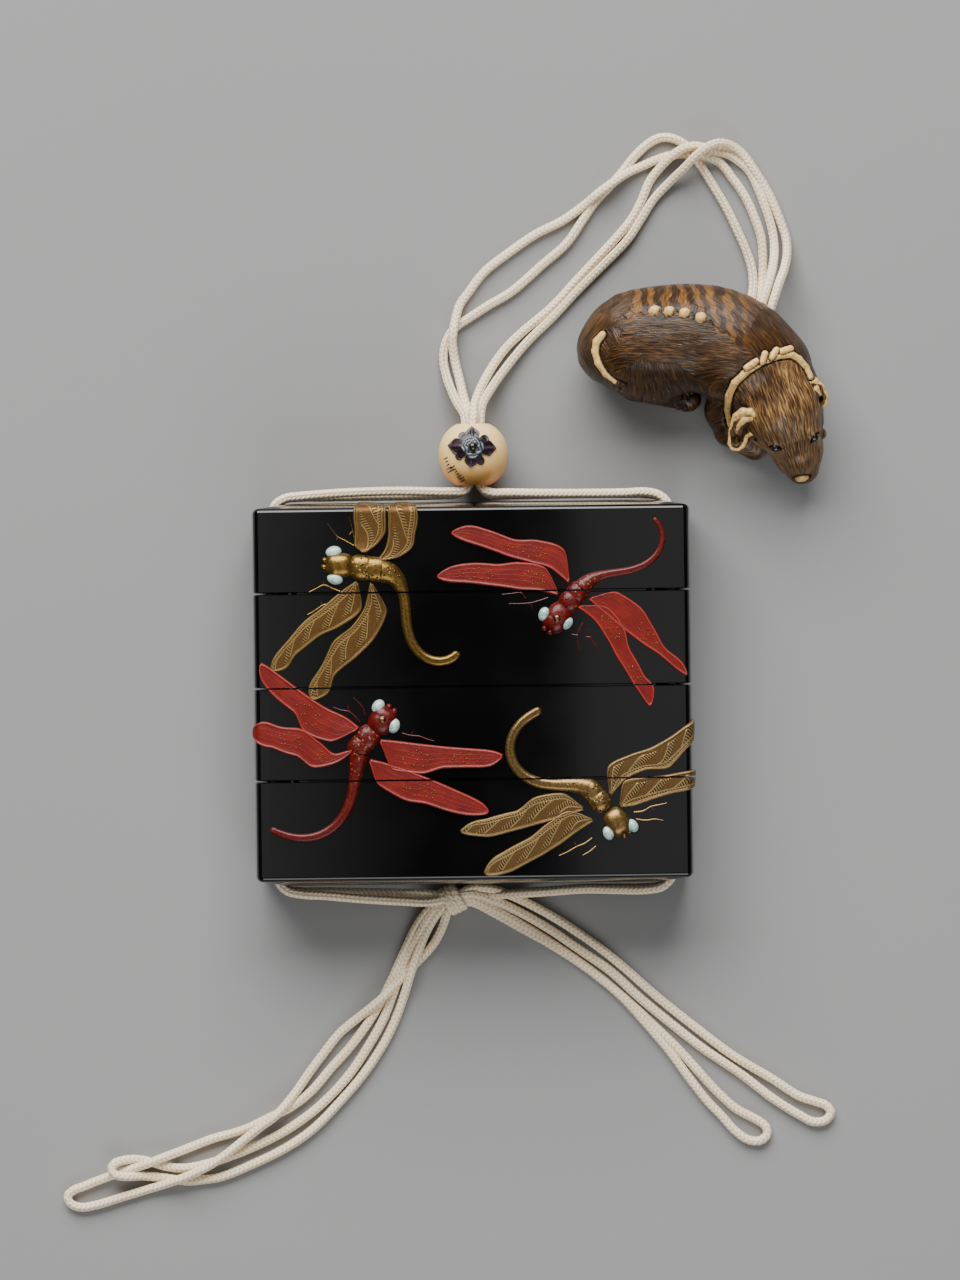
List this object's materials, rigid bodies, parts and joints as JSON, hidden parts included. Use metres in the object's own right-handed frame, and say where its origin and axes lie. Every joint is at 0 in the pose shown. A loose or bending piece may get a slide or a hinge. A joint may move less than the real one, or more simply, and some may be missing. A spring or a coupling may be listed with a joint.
{
  "type": "tiered belt case",
  "caption": "Flat lacquered case of stacked compartments under a lift-off lid, strung on a looped silk cord with a sliding bead and a curled dog toggle.",
  "frame": {"origin": "middle of the case's flat back, at the level of the surface it lies on", "axes": "+Z out of the case's front, +Y from the closed end towards the lid, the bead and the toggle, +X across the case to the right of its front"},
  "size_m": [0.1406, 0.194, 0.0206],
  "materials": {
    "lacquer": "gloss",
    "shell": "gloss",
    "bead": "satin",
    "flower": "satin",
    "flower_disc": "satin",
    "jet": "gloss",
    "stained_ivory": "satin",
    "silk": "matte"
  },
  "bodies": {
    "root": {"lid": "lacquer", "upper_case": "lacquer", "middle_case": "lacquer", "lower_case": "lacquer", "dragonfly_eye_top_left_1": "shell", "dragonfly_eye_top_left_2": "shell", "dragonfly_eye_top_right_1": "shell", "dragonfly_eye_top_right_2": "shell", "dragonfly_eye_lower_left_1": "shell", "dragonfly_eye_lower_left_2": "shell", "dragonfly_eye_lower_right_1": "shell", "dragonfly_eye_lower_right_2": "shell", "ojime_bead": "bead", "ojime_flower": "flower", "ojime_flower_disc": "flower_disc", "ojime_flower_bud": "jet", "netsuke": "stained_ivory", "netsuke_eye_left": "jet", "netsuke_eye_right": "jet", "cord": "silk"}
  },
  "joints": []
}
